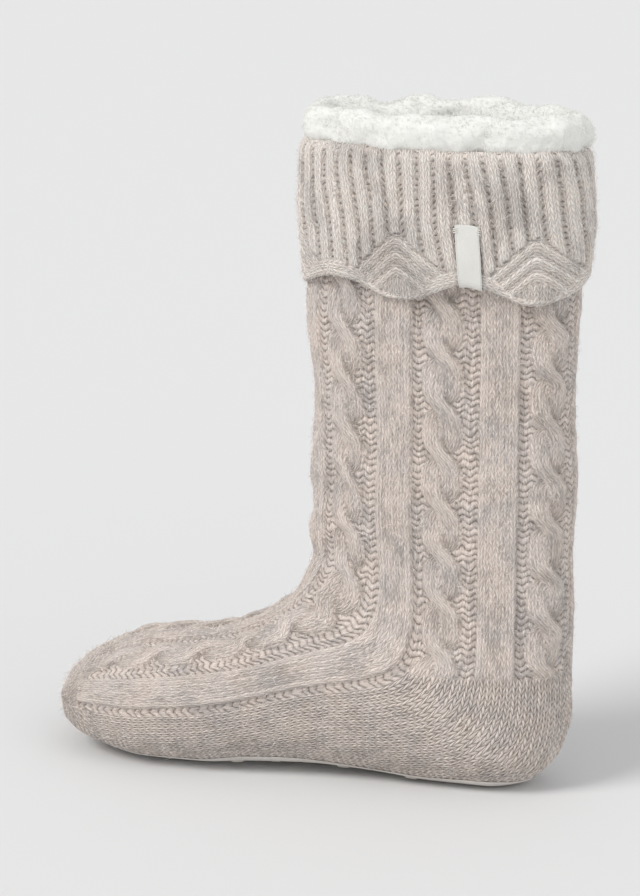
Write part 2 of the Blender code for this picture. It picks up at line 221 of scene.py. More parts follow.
def last_surface():
    """Smooth surface of the last: rings of points from the toe to under the cuff, and their turns."""
    rows = last_sections()
    chords = np.linalg.norm(np.diff(rows[:, :5], axis=0) * (0.5, 0.5, 0.5, 0.5, 1.0), axis=1)
    places = np.concatenate(([0], np.cumsum(chords)))
    foot_rows = len(FOREFOOT) + len(HINDFOOT)
    leg_start = places[foot_rows]
    leg_height = rows[foot_rows:, (1, 3)].mean(axis=1)
    leg_end = np.interp(LEG_ENDS_AT, leg_height, places[foot_rows:])
    foot = np.linspace(0, 1, RINGS_ON_FOOT) ** TOE_CROWDING * leg_start
    foot[0] = 0.0004
    wanted = np.concatenate((foot, np.linspace(leg_start, leg_end, RINGS_ON_LEG + 1)[1:]))
    turns = np.arange(COLUMNS) / COLUMNS
    rings = np.array([ring_points(row, turns) for row in smooth_curve(places, rows, wanted)])
    rings[:, :, 2] = np.maximum(rings[:, :, 2], SOLE_LEVEL)
    return rings, turns


def knit_layout(rings, turns):
    """Row number of every point, and how strongly the cable pattern shows there, 0 to 1."""
    lengths = np.zeros(rings.shape[:2])
    lengths[1:] = np.cumsum(np.linalg.norm(np.diff(rings, axis=0), axis=2), axis=0)
    x, z = rings[:, :, 0], rings[:, :, 2]
    signed = (turns + 0.5) % 1 - 0.5
    instep = (signed > INSTEP_TURNS[0]) & (signed < INSTEP_TURNS[1])
    rows = z / ROW_HEIGHT
    crossed = np.argmax(z >= INSTEP_FROM, axis=0)
    down_to = lengths[crossed, np.arange(COLUMNS)]
    count = down_to[int(COUNTED_AT_TURN * COLUMNS)] / ROW_HEIGHT
    below = INSTEP_FROM / ROW_HEIGHT - count * (down_to - lengths) / down_to
    rows = np.where(instep & (np.arange(len(rings))[:, None] < crossed), below, rows)
    sole = ~instep & (z < MITRE_HEIGHT - MITRE_SLOPE * (x - MITRE_X))
    rows = np.where(sole, x / ROW_HEIGHT + SOLE_ROWS_FROM, rows)
    toe_fade = eased(lengths, *PLAIN_AT_TOE)
    heel_fade = eased(z, *PLAIN_AT_HEEL) * ~sole
    return rows, np.where(instep, toe_fade, heel_fade)


def toe_wedge(rings, turns):
    """Stitch number round the foot. Over the toes the lines of stitches run straight on, and end at a
    decrease line along each side."""
    girth = np.linalg.norm(np.roll(rings, -1, axis=1) - rings, axis=2).sum(axis=1)
    along = np.cumsum(np.linalg.norm(np.diff(rings[:, 0], axis=0, prepend=rings[:1, 0]), axis=1))
    cap_end = int(np.argmax(along > TOE_CAP))
    share = np.where(np.arange(len(rings)) < cap_end, girth / girth[cap_end], 1.0)[:, None]
    centre = np.select((turns < 0.25, turns < 0.75), (0, STITCHES / 2), STITCHES)
    return centre + (turns * STITCHES - centre) * np.minimum(share, 1)


def stitch_relief(wale, rows, purl):
    """Height of the plain and purl stitches, 0 to 1."""
    side = np.abs(wale % 1 - 0.5) * 2
    slant = (rows - side) % 1
    plain = 4 * slant * (1 - slant) * (1 - (2 * side - 1) ** 2)
    sag = 0.5 + 0.5 * np.cos(2 * pi * PURL_ARCS * (wale - PURL_ARCS_FROM))
    bar = (rows + 0.5 * sag) % 1
    return np.where(purl > 0.5, 4 * bar * (1 - bar), plain)


def cable_relief(stitch, rows):
    """Height in mm of the cable pattern, each point's place across its own strand in stitches, which points
    are purl, and painted shading: painted shade where the strand that crosses over a point would shade it,
    heavier on one side, and below 0 painted highlight on the top of the crossing strand and the panels'
    edges."""
    across = (stitch - CABLE_TURN * STITCHES + REPEAT / 2) % REPEAT - REPEAT / 2
    repeat = np.floor((stitch - CABLE_TURN * STITCHES + REPEAT / 2) / REPEAT)
    crossings = rows / CROSSING_ROWS + CROSSINGS_AHEAD * repeat + CROSSINGS_FROM
    phase = 0.5 - crossings % 1
    swing = STRAND_SWING * np.sin(pi / 2 * np.sin(pi * phase))
    over, under = across - swing, across + swing
    lift = np.clip(np.cos(pi * phase), 0, 1)
    round_over, round_under = (np.sqrt(np.clip(1 - (at / STRAND_HALF) ** 2, 0, 1)) for at in (over, under))
    high_over = (STRAND_RISE_MM + STRAND_RISE_MM * lift) * round_over
    high_under = (STRAND_RISE_MM - 1.2 * lift**1.3) * round_under
    cable = np.maximum(high_over, high_under)
    in_cable = (cable > 0.12) & (np.abs(across) <= CABLE_HALF)
    ladder = ~in_cable & (across > LADDERS[0]) & (across < LADDERS[1])
    panel_place = np.where(across > 0, across - 9, across + 8) / 3
    panel_edge = np.exp(-(((np.abs(panel_place) - 0.84) / 0.12) ** 2))
    panel = PANEL_RISE_MM * np.clip(1 - panel_place**2, 0, 1) ** 0.5 + PANEL_EDGE_MM * panel_edge
    height = np.where(in_cable, cable - 0.8, np.where(ladder, -LADDER_SINK_MM, panel))
    on_top = high_over >= high_under
    second = np.floor(crossings) % 2
    strand = np.where(on_top, second, 1 - second)
    own_place = np.where(on_top, over, under) + STRAND_SWING + STRANDS_APART * strand
    wale = np.where(in_cable, own_place, stitch - LEG_WALE)
    # Painted shade along the line where the two strands meet and where the under strand dives, heavier on one
    # side of the crossing strand; painted highlight along the top of the crossing strand and, outside the
    # ladders, on the panels' raised edges.
    crease = np.exp(-(((high_over - high_under) / 0.55) ** 2)) * lift
    dive = ~on_top * lift**1.5
    shade = (0.6 * crease + 0.5 * dive) * np.where(over > 0, 1.0, 0.45)
    crest_highlight = 0.55 * on_top * lift * np.exp(-(((over - 0.75) / 0.45) ** 2)) * (1 - crease)
    edge = 0.35 * panel_edge * ~ladder
    return height, wale, ladder, np.where(in_cable, np.clip(shade, 0, 1) - crest_highlight, -edge)


class Fibre:
    """A shader socket with arithmetic: each operator adds its Math node."""

    def __init__(self, tree, socket):
        self.tree, self.socket = tree, socket

    def maths(self, operation, *values):
        inputs = {f"n{index}": value for index, value in enumerate(values)}
        return shader_node(self.tree, "ShaderNodeMath", {"operation": operation}, **inputs).out()

    def __add__(self, other):
        return self.maths("ADD", self, other)

    def __sub__(self, other):
        return self.maths("SUBTRACT", self, other)

    def __mul__(self, other):
        return self.maths("MULTIPLY", self, other)

    def __truediv__(self, other):
        return self.maths("DIVIDE", self, other)

    def __pow__(self, other):
        return self.maths("POWER", self, other)

    def __rsub__(self, other):
        return self.maths("SUBTRACT", other, self)

    __radd__ = __add__
    __rmul__ = __mul__

    def abs(self):
        return self.maths("ABSOLUTE", self)

    def fract(self):
        return self.maths("FRACT", self)

    def cos(self):
        return self.maths("COSINE", self)

    def between(self, low, high):
        """0 below low, 1 above high, smooth between."""
        settings = {"interpolation_type": "SMOOTHSTEP"}
        inputs = {"Value": self, "From_Min": low, "From_Max": high}
        return shader_node(self.tree, "ShaderNodeMapRange", settings, **inputs).out("Result")


class Made:
    """A node that has been added, and its outputs."""

    def __init__(self, tree, node):
        self.tree, self.node = tree, node

    def out(self, name=0):
        return Fibre(self.tree, self.node.outputs[name])


def shader_node(tree, kind, settings=None, **inputs):
    """Adds a node: its settings first, then its sockets. _ in a socket's name stands for a space, and a name
    such as n0 is its number."""
    node = tree.nodes.new(kind)
    for name, value in (settings or {}).items():
        setattr(node, name, value)
    for name, value in inputs.items():
        key = int(name[1:]) if name[0] == "n" and name[1:].isdigit() else name.replace("_", " ")
        socket = node.inputs[key]
        if isinstance(value, Fibre):
            tree.links.new(value.socket, socket)
        elif isinstance(value, tuple) and len(value) == 3 and socket.type == "RGBA":
            socket.default_value = (*value, 1)
        else:
            socket.default_value = value
    return Made(tree, node)


def reading(tree, name, output="Fac"):
    """What the mesh says at each point under this name."""
    return shader_node(tree, "ShaderNodeAttribute", {"attribute_name": name}).out(output)


def position(tree):
    return shader_node(tree, "ShaderNodeTexCoord").out("Object")


def parted(tree, vector):
    """The three numbers of a vector."""
    parts = shader_node(tree, "ShaderNodeSeparateXYZ", None, Vector=vector)
    return parts.out("X"), parts.out("Y"), parts.out("Z")


def mixed(tree, share, first, second):
    """A colour between two others."""
    settings = {"data_type": "RGBA", "clamp_factor": True}
    return shader_node(tree, "ShaderNodeMix", settings, n0=share, n6=first, n7=second).out(2)


def clouds(tree, place, scale, detail=2.0, roughness=0.5):
    """Noise, 0 to 1. Its place is a vector, or three numbers."""
    if isinstance(place, tuple):
        place = shader_node(tree, "ShaderNodeCombineXYZ", X=place[0], Y=place[1], Z=place[2]).out()
    inputs = {"Vector": place, "Scale": scale, "Detail": detail, "Roughness": roughness}
    return shader_node(tree, "ShaderNodeTexNoise", {"noise_dimensions": "3D"}, **inputs).out("Fac")


def rgb(text):
    """Linear colour of a hex code."""
    parts = [int(text[index : index + 2], 16) / 255 for index in (1, 3, 5)]
    return tuple(part / 12.92 if part <= 0.04045 else ((part + 0.055) / 1.055) ** 2.4 for part in parts)


def new_material(name):
    """An empty material's node tree."""
    material = bpy.data.materials.new(name)
    material.use_nodes = True
    material.node_tree.nodes.clear()
    return material, material.node_tree


def finish_material(tree, colour, roughness, normal=None, **constants):
    """The shader that the colour, roughness and relief feed. Constants go straight onto its sockets."""
    inputs = {"Base_Color": colour, "Roughness": roughness, **constants}
    if normal is not None:
        inputs["Normal"] = normal
    shader = shader_node(tree, "ShaderNodeBsdfPrincipled", None, **inputs)
    shader_node(tree, "ShaderNodeOutputMaterial", None, Surface=shader.out("BSDF"))


def bumped(tree, height, depth, strength=1.0):
    return shader_node(tree, "ShaderNodeBump", None, Height=height, Distance=depth, Strength=strength).out()


YARN_LIGHT = rgb("#F6EAE1")
YARN_ROSE = rgb("#E4D5CB")
YARN_GREY = rgb("#A29B98")
# Dark hairs, and painted shade on one leg of each plain stitch.
YARN_DARK_HAIR_AND_SHADE = rgb("#857A74")
YARN_WARM = rgb("#D3BFB0")
YARN_COOL = rgb("#BEB8B8")
# Pale hairs, partly painted highlight on the brushed hair.
YARN_PALE_HAIR_AND_HIGHLIGHT = rgb("#FDF6F0")
# Painted shade in the gaps between stitches.
YARN_GAP_SHADE = rgb("#75695F")
# Painted shade in recesses and under crossing strands.
YARN_SHADE = rgb("#6A5F57")


def yarn_material(name, light, rose, grey_hair, patchy, drifting, shade):
    """Thick soft yarn. On the mesh, stitch gives each point its place across and along its own line of
    stitches, and whether it is purl, crisp how clearly plain stitches show through the brushed hair, and the
    shading number how much painted shade it takes where it lies deep, while below 0 it takes painted
    highlight.
    patchy is how much greyer wide patches of the yarn turn, drifting how far its hue strays and shade how
    dark the painted shade is. Painted shade also darkens the gaps between stitches and one leg of each plain
    stitch, and painted highlight lightens the crowns of plain stitches and part of the pale hair."""
    material, tree = new_material(name)
    wale, row, purl = parted(tree, reading(tree, "stitch", "Vector"))
    hollow, crisp, place = reading(tree, "hollow"), reading(tree, "crisp"), position(tree)

    wander = clouds(tree, place, 230.0, 1.0) - 0.5
    sway = clouds(tree, place, 420.0, 1.0) - 0.5
    across = (wale + wander * 0.14).fract()
    side = (across - 0.5).abs() * 2.0
    slant = (row + sway * 0.15 - side).fract()
    leg_dome = slant * (1.0 - slant) * 4.0
    leg_edge = 1.0 - (side * 2.0 - 1.0) ** 2.0
    plain = (leg_dome * leg_edge) ** 0.55
    sag = ((wale - PURL_ARCS_FROM) * (2 * pi * PURL_ARCS)).cos() * 0.5 + 0.5
    bar = (row + sway * 0.2 + sag * 0.5).fract()
    bars = bar * (1.0 - bar) * 4.0
    relief = plain * (1.0 - purl) + bars * purl

    fine = clouds(tree, place, 1500.0, 3.0, 0.65)
    ply = clouds(tree, (side * 3.0, slant * 8.0, row * 0.7), 1.6, 2.0)
    height = relief * (0.42 + crisp * 0.33 + purl * 0.33) + fine * 0.42 + ply * 0.16
    normal = bumped(tree, height, 0.00115, 0.9)

    blotch = clouds(tree, (wale * 0.33 + 7.0, row * 0.17, purl * 1.5), 1.0, 2.0, 0.55)
    streak = clouds(tree, (wale * 1.9 + sway * 1.5, row * 0.40, purl * 3.0), 1.0, 3.0, 0.6)
    fleck = clouds(tree, (wale * 3.4 + 31.0, row * 0.85 + sway, purl * 5.0), 1.0, 3.0, 0.65)
    hair = clouds(tree, (wale * 7.5 + sway * 5.0, row * 1.5, purl), 1.0, 3.0, 0.7)
    colour = mixed(tree, fleck.between(0.38, 0.62), light, rose)
    patch = (clouds(tree, place, 40.0, 1.0) - 0.5) * patchy
    grey = (blotch * 0.32 + streak * 0.40 + fleck * 0.28 + patch).between(0.46, 0.585)
    colour = mixed(tree, grey * 0.75, colour, grey_hair)
    colour = mixed(tree, (1.0 - hair.between(0.34, 0.54)) * 0.42, colour, YARN_DARK_HAIR_AND_SHADE)
    # Pale hairs, partly painted highlight on them.
    colour = mixed(tree, hair.between(0.54, 0.70) * 0.5, colour, YARN_PALE_HAIR_AND_HIGHLIGHT)
    drift = clouds(tree, place, 62.0, 2.0)
    colour = mixed(tree, drifting, colour, mixed(tree, drift.between(0.38, 0.62), YARN_COOL, YARN_WARM))
    broken = fleck.between(0.36, 0.60)
    # Painted highlight on the crowns of plain stitches, where they show clearly.
    colour = mixed(tree, relief.between(0.5, 0.95) * (1.0 - purl) * crisp * 0.42, colour, light)
    # Painted shade in the gaps between plain stitches and under the purl bars, partly broken by the flecks.
    plain_gap_shade = (1.0 - relief.between(0.05, 0.58)) * (crisp * 0.88 - 0.02) * (1.0 - purl)
    purl_gap_shade = (1.0 - bars.between(0.08, 0.66)) * purl * (0.18 + broken * 0.62)
    colour = mixed(tree, plain_gap_shade + purl_gap_shade, colour, YARN_GAP_SHADE)
    # Painted shade on one leg of each plain stitch, as if the light fell on the other.
    painted_leg_shade = across.between(0.42, 0.62) * (1.0 - purl) * crisp * 0.22
    colour = mixed(tree, painted_leg_shade, colour, YARN_DARK_HAIR_AND_SHADE)
    # Painted shade where the point lies deep.
    colour = mixed(tree, hollow * shade, colour, YARN_SHADE)
    # Painted highlight where the shading number is below 0: tops of crossing strands, panel edges, rib
    # crowns.
    colour = mixed(tree, hollow * -0.9, colour, light)
    finish_material(
        tree, colour, 0.95, normal, Specular_IOR_Level=0.1, Sheen_Weight=0.3, Sheen_Roughness=0.5,
        Sheen_Tint=(1.0, 0.97, 0.94),
    )
    return material


def quads_between(rings, round_it, closed=True):
    """Faces between rings of points, as the numbers of their corners."""
    columns = round_it if closed else round_it - 1
    ring, here = np.meshgrid(np.arange(rings - 1), np.arange(columns), indexing="ij")
    there = (here + 1) % round_it
    low, high = ring * round_it, (ring + 1) * round_it
    return np.stack((low + here, low + there, high + there, high + here), axis=-1).reshape(-1, 4)


def quad_mesh(name, points, faces, material):
    mesh = bpy.data.meshes.new(name)
    mesh.vertices.add(points.size // 3)
    mesh.vertices.foreach_set("co", points.reshape(-1).astype(np.float32))
    mesh.loops.add(faces.size)
    mesh.loops.foreach_set("vertex_index", faces.reshape(-1).astype(np.int32))
    mesh.polygons.add(len(faces))
    mesh.polygons.foreach_set("loop_start", (np.arange(len(faces)) * 4).astype(np.int32))
    mesh.update(calc_edges=True)
    mesh.materials.append(material)
    return mesh


def write_on(mesh, name, values, kind="FLOAT", domain="POINT"):
    """Writes a number, or three, on each point or corner under this name."""
    layer = mesh.attributes.new(name, kind, domain)
    layer.data.foreach_set("value" if kind == "FLOAT" else "vector", values.reshape(-1).astype(np.float32))


def placed(name, data):
    """A new object in the scene."""
    made = bpy.data.objects.new(name, data)
    bpy.context.scene.collection.objects.link(made)
    return made


def grid_mesh(name, points, material, closed=True, stitch=None, **shades):
    """A smooth piece through a grid of points, rings first. stitch holds three numbers for each point, and
    each face takes its own strand's numbers, so that no stitch is smeared across an edge. Each of the shades
    is one number for each point."""
    faces = quads_between(*points.shape[:2], closed)
    mesh = quad_mesh(name, points, faces, material)
    mesh.shade_smooth()
    if stitch is not None:
        corner = stitch.reshape(-1, 3)[faces]
        wrap = np.round((corner[:, :1, 0] - corner[:, :, 0]) / STITCHES) * STITCHES
        corner[:, :, 0] += np.where(np.abs(wrap) > STITCHES / 2, wrap, 0)
        for way in (0, 1):
            leap = np.abs(corner[:, :, way] - corner[:, :1, way]) > 1.6
            corner[:, :, way] = np.where(leap, corner[:, :1, way], corner[:, :, way])
        corner[:, :, 2] = np.round(corner[:, :, 2].mean(axis=1, keepdims=True))
        write_on(mesh, "stitch", corner, "FLOAT_VECTOR", "CORNER")
    for shade, values in shades.items():
        write_on(mesh, shade, values)
    return placed(name, mesh)


last_rings, last_turns = last_surface()
last_normals = surface_normals(last_rings)
last_normals[0] = (-1, 0, 0)
knit_rows, cables_show = knit_layout(last_rings, last_turns)
stitch_round = np.broadcast_to(last_turns * STITCHES, knit_rows.shape)

height_mm, strand_wale, is_purl, painted_cable_shading = cable_relief(stitch_round, knit_rows)
showing = cables_show > 0.5
wale = np.where(showing, strand_wale, toe_wedge(last_rings, last_turns) - LEG_WALE)
wale = wale + lumps(last_rings, 0.010, 14) * 0.07
purl = (is_purl & showing).astype(float)
knit_rows = knit_rows + lumps(last_rings, 0.0075, 13) * (0.07 + 0.06 * purl)
height_mm = height_mm * cables_show
slouch = lumps(last_rings, 0.055, 11) * 1.1 * eased(last_rings[:, :, 2], 0.012, 0.05)

# Two wide soft creases across the bend of the ankle, deepest at the front and gone at the sides.
from_front = (last_turns + 0.5) % 1 - 0.5
for crease_height, crease_turn, reach, depth in ((0.0985, 0.012, 0.120, 1.7), (0.1210, -0.030, 0.130, 1.5)):
    aside = (from_front - crease_turn) / reach
    across_crease = (last_rings[:, :, 2] - crease_height - 0.018 * aside**2) / 0.0060
    front_only = np.exp(-(aside**2)) * (np.abs(from_front) < 0.25)
    slouch -= depth * np.exp(-(across_crease**2)) * front_only
    slouch += 0.45 * depth * np.exp(-((across_crease - 1.9) ** 2)) * front_only
uneven = lumps(last_rings, 0.011, 12) * 0.2 * eased(last_rings[:, :, 2], 0.004, 0.015)
crisp = 1 - 0.68 * cables_show
stitch_mm = stitch_relief(wale, knit_rows, purl) * (0.02 + 0.60 * crisp + 0.20 * purl)
knit_points = last_rings + last_normals * ((height_mm + slouch + uneven + stitch_mm) * 0.001)[:, :, None]
knit_points[:, :, 2] = np.maximum(knit_points[:, :, 2], SOLE_LEVEL)

# Painted shade: how deep each point lies beside the ridges that stand round it, the ridges on one side
# weighing more so that the shade falls more on that side, with the cables' painted shade and highlight added.
blurred = height_mm.copy()
for shift in range(1, PAINTED_SHADE_REACH + 1):
    blurred += 1.25 * np.roll(height_mm, shift, axis=1) + 0.75 * np.roll(height_mm, -shift, axis=1)
blurred /= 2 * PAINTED_SHADE_REACH + 1
hollow = np.clip((blurred - height_mm) / 1.5, 0, 0.7) + 0.7 * painted_cable_shading * cables_show

heathered = yarn_material("heathered yarn", YARN_LIGHT, YARN_ROSE, YARN_GREY, 0.10, 0.22, 0.44)
stitch_data = np.stack((wale, knit_rows, purl), axis=-1)
foot_middle = RINGS_ON_FOOT // 2
leg_middle = RINGS_ON_FOOT + RINGS_ON_LEG // 2 - HIDDEN_RINGS // 2
leg_end = RINGS_ON_FOOT + RINGS_ON_LEG - HIDDEN_RINGS
for name, part in (
    ("knit_toe", slice(0, foot_middle + 1)), ("knit_heel", slice(foot_middle, RINGS_ON_FOOT + 1)),
    ("knit_ankle", slice(RINGS_ON_FOOT, leg_middle + 1)), ("knit_leg", slice(leg_middle, leg_end)),
):
    shades = {"hollow": hollow[part], "crisp": crisp[part]}
    piece = grid_mesh(name, knit_points[part], heathered, stitch=stitch_data[part], **shades)
    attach(piece, "root")
    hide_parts("knit_upper")


def loose_fibres(name, strands, width, material, node):
    """Flat hairs that taper to their tips: a path of points, a sideways direction and a tone for each."""
    paths, sides, tones = strands
    count, steps = paths.shape[:2]
    taper = np.interp(np.arange(steps), (0, steps - 2, steps - 1), (1.0, 0.8, 0.2))[None, :, None]
    half = sides[:, None, :] * taper * (width / 2)
    points = np.stack((paths - half, paths + half), axis=2)
    start = (np.arange(count) * steps * 2)[:, None] + np.arange(steps - 1)[None, :] * 2
    faces = np.stack((start, start + 1, start + 3, start + 2), axis=-1).reshape(-1, 4)
    mesh = quad_mesh(name, points, faces, material)
    write_on(mesh, "tone", np.repeat(tones, steps * 2))
    piece = placed(name, mesh)
    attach(piece, "root")
    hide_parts(node)


def brushed_hairs(points, normals, count, seed, keep=None):
    """Hairs raised from a knitted surface: mostly lying along it, some standing off it."""
    random = np.random.default_rng(seed)
    rows = random.integers(1, points.shape[0] - 2, count)
    columns = random.integers(0, points.shape[1], count)
    if keep is not None:
        wanted = keep[rows, columns] > random.uniform(size=count)
        rows, columns = rows[wanted], columns[wanted]
        count = len(rows)
    nearby = (columns + 1) % points.shape[1]
    along = points[rows + 1, columns] - points[rows, columns]
    beside = points[rows, nearby] - points[rows, columns]
    start = points[rows, columns] + random.uniform(size=(count, 1)) * along
    start = start + random.uniform(size=(count, 1)) * beside
    outward = normals[rows, columns]
    along /= np.maximum(np.linalg.norm(along, axis=1, keepdims=True), 1e-9)
    beside = np.cross(outward, along)
    angle = random.normal(0, 0.75, (count, 1)) + pi * random.integers(0, 2, (count, 1))
    way = along * np.cos(angle) + beside * np.sin(angle)
    bend = angle + random.normal(0, 0.7, (count, 1))
    later = along * np.cos(bend) + beside * np.sin(bend)
    length = random.uniform(*HAIR_LENGTH_MM, (count, 1)) * 0.001
    rise = random.uniform(*HAIR_RISE_MM, (count, 1)) ** 1.5 * 0.001
    first = start - outward * 0.00012
    half_way = start + way * length * 0.5
    second = half_way + outward * rise * 0.75
    third = half_way + later * length * 0.5 + outward * rise * random.uniform(0.4, 1.3, (count, 1))
    paths = np.stack((first, second, third), axis=1)
    paths[:, :, 2] = np.maximum(paths[:, :, 2], 0.0004)
    roll_over = random.uniform(-1.2, 1.2, (count, 1))
    sides = np.cross(outward, way) * np.cos(roll_over) + outward * np.sin(roll_over)
    return paths, sides / np.linalg.norm(sides, axis=1, keepdims=True), random.uniform(size=count)


HAIR_LENGTH_MM = (1.6, 4.6)
HAIR_RISE_MM = (0.40, 1.50)
HAIR_WIDTH = 0.00012

fuzz, fuzz_tree = new_material("brushed hairs")
hair_tone = reading(fuzz_tree, "tone").between(0.45, 0.85)
hair_colour = mixed(fuzz_tree, hair_tone, rgb("#FBF4EE"), rgb("#C6C0BD"))
finish_material(fuzz_tree, hair_colour, 0.9, Specular_IOR_Level=0.1, Sheen_Weight=0.2)
knit_normals = surface_normals(knit_points)
off_the_floor = eased(knit_points[:, :, 2], 0.003, 0.012)
for name, part, count, seed in (
    ("fuzz_on_foot", slice(2, RINGS_ON_FOOT), 11000, 51),
    ("fuzz_on_leg", slice(RINGS_ON_FOOT, leg_end - 34), 11000, 52),
):
    strands = brushed_hairs(knit_points[part], knit_normals[part], count, seed, off_the_floor[part])
    loose_fibres(name, strands, HAIR_WIDTH, fuzz, "knit_upper")

# ---------------------------------------------------------------------------------------------------------
# Turned cuff: the same yarn knitted as a wide band and folded down over the rim. Ribs run down it, inverted
# V ribs frame a smooth lobe in each of its five scallops, and a smooth band is knitted along the free edge.
# ---------------------------------------------------------------------------------------------------------
CUFF_DROP = 0.060
CUFF_WALL = 0.003
CUFF_FACE_OUT = 0.0057
SCALLOP_DEPTH = 0.0085
SCALLOPS = 5
SCALLOP_TURN = 0.015
RIBS_PER_SCALLOP = 8
CUFF_LIGHT = rgb("#FFFAF3")
CUFF_ROSE = rgb("#FBEDE2")
CUFF_GREY = rgb("#BBB3AE")
LOBE_MM = 9.75
VEE_RIB_MM = 6.5
VEE_RIBS = 3
RIB_RISE_MM = 1.6
CUFF_SINK_MM = 0.4
CUFF_STITCH_MM = 2.9
CUFF_COLUMNS = 420
CUFF_ROWS = 112


def rim_ring(turns, out, height):
    """Points round the leg at these turns, this far outside the knit's rim."""
    section = last_sections()[-1]
    step = 1 / GIRTH_STEPS
    along = ring_points(section, turns + step) - ring_points(section, turns - step)
    outward = np.stack((along[:, 1], -along[:, 0]), axis=1)
    outward /= np.linalg.norm(outward, axis=1, keepdims=True)
    ring = ring_points(section, turns)
    ring[:, :2] += outward * np.reshape(out, (-1, 1))
    ring[:, 2] = height
    return ring


def cuff_drop(turns):
    return CUFF_DROP + SCALLOP_DEPTH / 2 * np.cos(2 * pi * SCALLOPS * (turns - SCALLOP_TURN))


def cuff_profile(drop):
    """The cuff's section where it hangs this deep: out from the rim, height, and the way along its face from
    the free edge. It starts inside, rounds the edge, rises outside and folds over the rim."""
    inside = CUFF_OUT * 0.97 - CUFF_WALL
    low = CUFF_TOP - drop
    points = [(inside + 0.0002, low + 0.009), (inside, low + 0.0016), (inside + 0.0006, low + 0.0004)]
    points += [(inside + 0.0016, low), (inside + 0.0026, low + 0.0004), (inside + 0.0034, low + 0.0020)]
    for out, down in ((1.10, 0.93), (1.17, 0.80), (1.20, 0.52), (1.17, 0.30), (1.10, 0.13), (1.02, 0.06)):
        points.append((out * CUFF_OUT, CUFF_TOP - down * drop))
    points += [(0.84 * CUFF_OUT, CUFF_TOP - 0.0007), (0.55 * CUFF_OUT, CUFF_TOP + 0.0004)]
    points += [(0.10 * CUFF_OUT, CUFF_TOP + 0.0004), (-0.57 * CUFF_OUT, CUFF_TOP + 0.0002)]
    points = np.array(points)
    places = np.concatenate(([0], np.cumsum(np.linalg.norm(np.diff(points, axis=0), axis=1))))
    wanted = np.linspace(0, places[-1], CUFF_ROWS)
    return smooth_curve(places, points, wanted), wanted - places[3]


cuff_turns = np.arange(CUFF_COLUMNS) / CUFF_COLUMNS
cuff_drops = cuff_drop(cuff_turns)
profiles = [cuff_profile(drop) for drop in cuff_drops]
cuff_out = np.array([profile[0][:, 0] for profile in profiles]).T
cuff_height = np.array([profile[0][:, 1] for profile in profiles]).T
from_edge_mm = np.array([profile[1] for profile in profiles]).T * 1000
cuff_rings = np.array([rim_ring(cuff_turns, out, height) for out, height in zip(cuff_out, cuff_height)])
cuff_normals = surface_normals(cuff_rings)

face_ring = rim_ring(np.linspace(0, 1, GIRTH_STEPS + 1), CUFF_FACE_OUT, CUFF_TOP)
rim_girth_mm = 1000 * np.linalg.norm(np.diff(face_ring, axis=0), axis=1).sum()
scallop_mm = rim_girth_mm / SCALLOPS
rib_mm = scallop_mm / RIBS_PER_SCALLOP
lobe_place = (cuff_turns - SCALLOP_TURN) * SCALLOPS
lobe_x_mm = np.broadcast_to(((lobe_place + 0.5) % 1 - 0.5) * scallop_mm, cuff_height.shape)
lobe_y_mm = (cuff_height - (CUFF_TOP - CUFF_DROP - SCALLOP_DEPTH / 2)) * 1000
arm = np.where(lobe_x_mm < 0, 0.86, 0.72) * (np.sqrt(lobe_x_mm**2 + 4) - 2)
chevron_mm = lobe_y_mm + arm + lumps(cuff_rings, 0.024, 24) * 0.35

rib_x_mm = lobe_x_mm + 0.14 * (from_edge_mm - 30) + lumps(cuff_rings, 0.034, 23) * 0.7
rib_count = rib_x_mm / rib_mm + 0.5
rib_dome = np.clip(1 - np.abs(rib_count % 1 - 0.5) ** 2.4 / 0.43**2.4, 0, 1) ** 0.6
vee_place = (chevron_mm - LOBE_MM) / VEE_RIB_MM
vee_dome = (0.5 - 0.5 * np.cos(2 * pi * vee_place)) ** 0.6
in_lobe = chevron_mm < LOBE_MM
in_vee = ~in_lobe & (chevron_mm < LOBE_MM + VEE_RIBS * VEE_RIB_MM)
band_mm = 2.6 + 4.2 * eased(np.abs(lobe_x_mm), 9, 21)
band = from_edge_mm < band_mm
band_dome = np.clip(1 - ((2 * from_edge_mm - band_mm) / (band_mm + 1.4)) ** 4, 0, 1) ** 0.5
cuff_height_mm = np.where(in_vee, 0.15 + 1.0 * vee_dome, np.where(in_lobe, 0.75, RIB_RISE_MM * rib_dome))
cuff_height_mm = np.maximum(cuff_height_mm * eased(from_edge_mm - band_mm, -1.5, 2.5), 1.0 * band_dome)
on_face = eased(from_edge_mm, -1.5, 0.5)
over_fold = 1 - eased(cuff_height, CUFF_TOP - 0.004, CUFF_TOP - 0.0005)
cuff_height_mm = cuff_height_mm * (0.25 + 0.75 * over_fold) * on_face

slope_mm = (np.abs(lobe_x_mm) - 0.8 * lobe_y_mm) / 1.28
cuff_wale = np.where(in_vee, vee_place * 2 + 60, np.where(in_lobe, lobe_x_mm / 2.5 + 90, rib_count * 3))
cuff_wale = np.where(band, from_edge_mm / 2.4 + 30, cuff_wale)
cuff_row = np.where(in_vee, slope_mm, from_edge_mm) / CUFF_STITCH_MM
cuff_row = np.where(band, cuff_turns * rim_girth_mm / CUFF_STITCH_MM, cuff_row)
trough = np.where(in_vee, 0.35 + 0.65 * vee_dome, np.where(in_lobe, 1.0, rib_dome))
cuff_purl = ((rib_dome < 0.5) & ~band & ~in_vee & ~in_lobe).astype(float)
